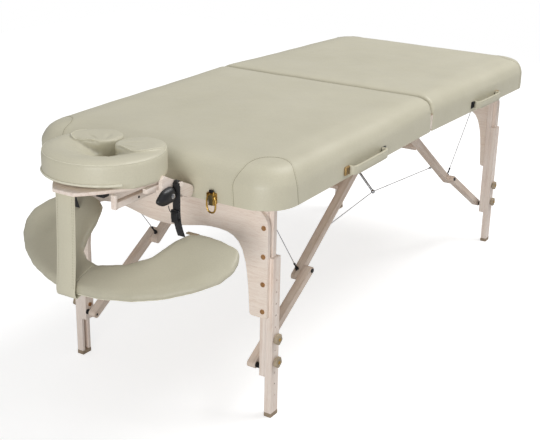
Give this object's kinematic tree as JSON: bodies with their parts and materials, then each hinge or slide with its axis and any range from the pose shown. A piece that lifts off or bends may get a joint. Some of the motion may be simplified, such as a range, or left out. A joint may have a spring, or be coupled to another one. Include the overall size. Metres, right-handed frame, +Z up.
{
  "type": "folding massage table",
  "caption": "Portable wooden massage table that folds in half, with cushioned top, arched end panels, adjustable legs, face cradle and arm shelf.",
  "frame": {"origin": "on the floor under the centre hinge, at mid width", "axes": "+X towards the foot end, -X towards the face cradle, -Y the side with the carrying handles, +Z up"},
  "size_m": [2.2116, 0.853, 0.781],
  "materials": {
    "vinyl": "satin vinyl",
    "maple": "white-washed satin",
    "board": "plain board",
    "steel": "satin",
    "brass": "polished",
    "black_plastic": "matte",
    "tan_plastic": "matte",
    "tan_rubber": "matte",
    "webbing": "woven",
    "black_steel": "black"
  },
  "bodies": {
    "head_half": {"pad_head": "vinyl", "deck_head": "board", "side_rails_head": "maple", "cross_rails_head": "maple", "hinge_leaves_head": "steel", "pivot_plates_head": "steel", "handle_head": "vinyl", "handle_brackets_head": "steel", "latch_plate": "brass"},
    "centre_pin": {"hinge_pins": "steel", "centre_struts": "steel", "stay_cables": "steel"},
    "foot_half": {"pad_foot": "vinyl", "deck_foot": "board", "side_rails_foot": "maple", "cross_rails_foot": "maple", "hinge_leaves_foot": "steel", "pivot_plates_foot": "steel", "handle_foot": "vinyl", "handle_brackets_foot": "steel"},
    "latch_lever": {"latch_lever": "brass"},
    "legs_head": {"upper_legs_head": "maple", "end_panel_head": "maple", "leg_screws_head": "brass", "leg_pins_head": "black_steel"},
    "upper_links_head": {"upper_links_head": "maple"},
    "lower_links_head": {"lower_links_head": "maple", "knee_bolts_head": "black_steel"},
    "extension_head_near": {"extension_head_near": "maple", "foot_head_near": "tan_rubber"},
    "knob_head_near_upper": {"knob_head_near_upper": "tan_plastic"},
    "knob_head_near_lower": {"knob_head_near_lower": "tan_plastic"},
    "extension_head_far": {"extension_head_far": "maple", "foot_head_far": "tan_rubber"},
    "knob_head_far_upper": {"knob_head_far_upper": "tan_plastic"},
    "knob_head_far_lower": {"knob_head_far_lower": "tan_plastic"},
    "legs_foot": {"upper_legs_foot": "maple", "end_panel_foot": "maple", "leg_screws_foot": "brass", "leg_pins_foot": "black_steel"},
    "upper_links_foot": {"upper_links_foot": "maple"},
    "lower_links_foot": {"lower_links_foot": "maple", "knee_bolts_foot": "black_steel"},
    "extension_foot_near": {"extension_foot_near": "maple", "foot_foot_near": "tan_rubber"},
    "knob_foot_near_upper": {"knob_foot_near_upper": "tan_plastic"},
    "knob_foot_near_lower": {"knob_foot_near_lower": "tan_plastic"},
    "extension_foot_far": {"extension_foot_far": "maple", "foot_foot_far": "tan_rubber"},
    "knob_foot_far_upper": {"knob_foot_far_upper": "tan_plastic"},
    "knob_foot_far_lower": {"knob_foot_far_lower": "tan_plastic"},
    "cradle": {"cradle_base": "maple", "cradle_plates": "maple", "arm_shelf": "vinyl", "webbing_straps": "webbing", "strap_buckles": "black_plastic", "front_strap": "vinyl"},
    "platform": {"platform": "maple"},
    "pillow": {"pillow": "vinyl"},
    "cam_knob": {"cam_knob": "black_plastic"}
  },
  "joints": [
    {"name": "centre_fold_a", "type": "hinge", "parent": "head_half", "child": "centre_pin", "pos_m": [0, 0, 0.648], "axis": [0, 1, 0], "range_deg": [0, 86.5], "deforming": ["stay_cables"]},
    {"name": "centre_fold_b", "type": "hinge", "parent": "centre_pin", "child": "foot_half", "pos_m": [0, 0, 0.648], "axis": [0, 1, 0], "range_deg": [0, 91], "deforming": ["stay_cables"]},
    {"name": "legs_head_fold", "type": "hinge", "parent": "head_half", "child": "legs_head", "pos_m": [-0.81738, 0, 0.66659], "axis": [0, -1, 0], "range_deg": [0, 91]},
    {"name": "lower_links_head_fold", "type": "hinge", "parent": "legs_head", "child": "lower_links_head", "pos_m": [-0.82737, 0, 0.148], "axis": [0, -1, 0], "range_deg": [0, 57]},
    {"name": "upper_links_head_fold", "type": "hinge", "parent": "head_half", "child": "upper_links_head", "pos_m": [-0.06017, 0, 0.65909], "axis": [0, 1, 0], "range_deg": [0, 36.5]},
    {"name": "height_head_near", "type": "slide", "parent": "legs_head", "child": "extension_head_near", "axis": [0, 0, 1], "range_m": [-0.0345, 0.104]},
    {"name": "knob_head_near_upper_turn", "type": "hinge", "parent": "extension_head_near", "child": "knob_head_near_upper", "pos_m": [-0.81738, -0.35, 0.2375], "axis": [0, 1, 0], "continuous": true},
    {"name": "knob_head_near_lower_turn", "type": "hinge", "parent": "extension_head_near", "child": "knob_head_near_lower", "pos_m": [-0.81738, -0.35, 0.1685], "axis": [0, 1, 0], "continuous": true},
    {"name": "height_head_far", "type": "slide", "parent": "legs_head", "child": "extension_head_far", "axis": [0, 0, 1], "range_m": [-0.0345, 0.104]},
    {"name": "knob_head_far_upper_turn", "type": "hinge", "parent": "extension_head_far", "child": "knob_head_far_upper", "pos_m": [-0.81738, 0.35, 0.2375], "axis": [0, 1, 0], "continuous": true},
    {"name": "knob_head_far_lower_turn", "type": "hinge", "parent": "extension_head_far", "child": "knob_head_far_lower", "pos_m": [-0.81738, 0.35, 0.1685], "axis": [0, 1, 0], "continuous": true},
    {"name": "legs_foot_fold", "type": "hinge", "parent": "foot_half", "child": "legs_foot", "pos_m": [0.81738, 0, 0.66659], "axis": [0, 1, 0], "range_deg": [0, 91]},
    {"name": "lower_links_foot_fold", "type": "hinge", "parent": "legs_foot", "child": "lower_links_foot", "pos_m": [0.82737, 0, 0.148], "axis": [0, 1, 0], "range_deg": [0, 57]},
    {"name": "upper_links_foot_fold", "type": "hinge", "parent": "foot_half", "child": "upper_links_foot", "pos_m": [0.06017, 0, 0.65909], "axis": [0, -1, 0], "range_deg": [0, 36.5]},
    {"name": "height_foot_near", "type": "slide", "parent": "legs_foot", "child": "extension_foot_near", "axis": [0, 0, 1], "range_m": [-0.0345, 0.104]},
    {"name": "knob_foot_near_upper_turn", "type": "hinge", "parent": "extension_foot_near", "child": "knob_foot_near_upper", "pos_m": [0.81738, -0.35, 0.2375], "axis": [0, 1, 0], "continuous": true},
    {"name": "knob_foot_near_lower_turn", "type": "hinge", "parent": "extension_foot_near", "child": "knob_foot_near_lower", "pos_m": [0.81738, -0.35, 0.1685], "axis": [0, 1, 0], "continuous": true},
    {"name": "height_foot_far", "type": "slide", "parent": "legs_foot", "child": "extension_foot_far", "axis": [0, 0, 1], "range_m": [-0.0345, 0.104]},
    {"name": "knob_foot_far_upper_turn", "type": "hinge", "parent": "extension_foot_far", "child": "knob_foot_far_upper", "pos_m": [0.81738, 0.35, 0.2375], "axis": [0, 1, 0], "continuous": true},
    {"name": "knob_foot_far_lower_turn", "type": "hinge", "parent": "extension_foot_far", "child": "knob_foot_far_lower", "pos_m": [0.81738, 0.35, 0.1685], "axis": [0, 1, 0], "continuous": true},
    {"name": "latch_lift", "type": "hinge", "parent": "head_half", "child": "latch_lever", "pos_m": [-0.9347, -0.221, 0.65436], "axis": [0, 1, 0], "range_deg": [0, 125]},
    {"name": "cradle_slide", "type": "slide", "parent": "head_half", "child": "cradle", "axis": [-0.9999, 0, -0.0152], "range_m": [0, 0.12]},
    {"name": "platform_tilt", "type": "hinge", "parent": "cradle", "child": "platform", "pos_m": [-1.03949, 0, 0.67222], "axis": [0, 1, 0], "range_deg": [-10, 30], "deforming": ["front_strap"]},
    {"name": "cam_knob_turn", "type": "hinge", "parent": "cradle", "child": "cam_knob", "pos_m": [-1.03949, -0.18, 0.67222], "axis": [0, 1, 0], "range_deg": [0, 90]},
    {"name": "pillow_lift", "type": "slide", "parent": "platform", "child": "pillow", "axis": [-0.0152, 0, 0.9999], "range_m": [0, 0.06]}
  ],
  "couplings": [
    {"joint": "legs_head_fold", "follows": "centre_fold_a", "ratio": 1.0505},
    {"joint": "lower_links_head_fold", "follows": "centre_fold_a", "ratio": 0.65329},
    {"joint": "upper_links_head_fold", "follows": "centre_fold_b", "ratio": 0.39945},
    {"joint": "legs_foot_fold", "follows": "centre_fold_a", "ratio": 1.0505},
    {"joint": "lower_links_foot_fold", "follows": "centre_fold_a", "ratio": 0.65329},
    {"joint": "upper_links_foot_fold", "follows": "centre_fold_b", "ratio": 0.39945}
  ]
}
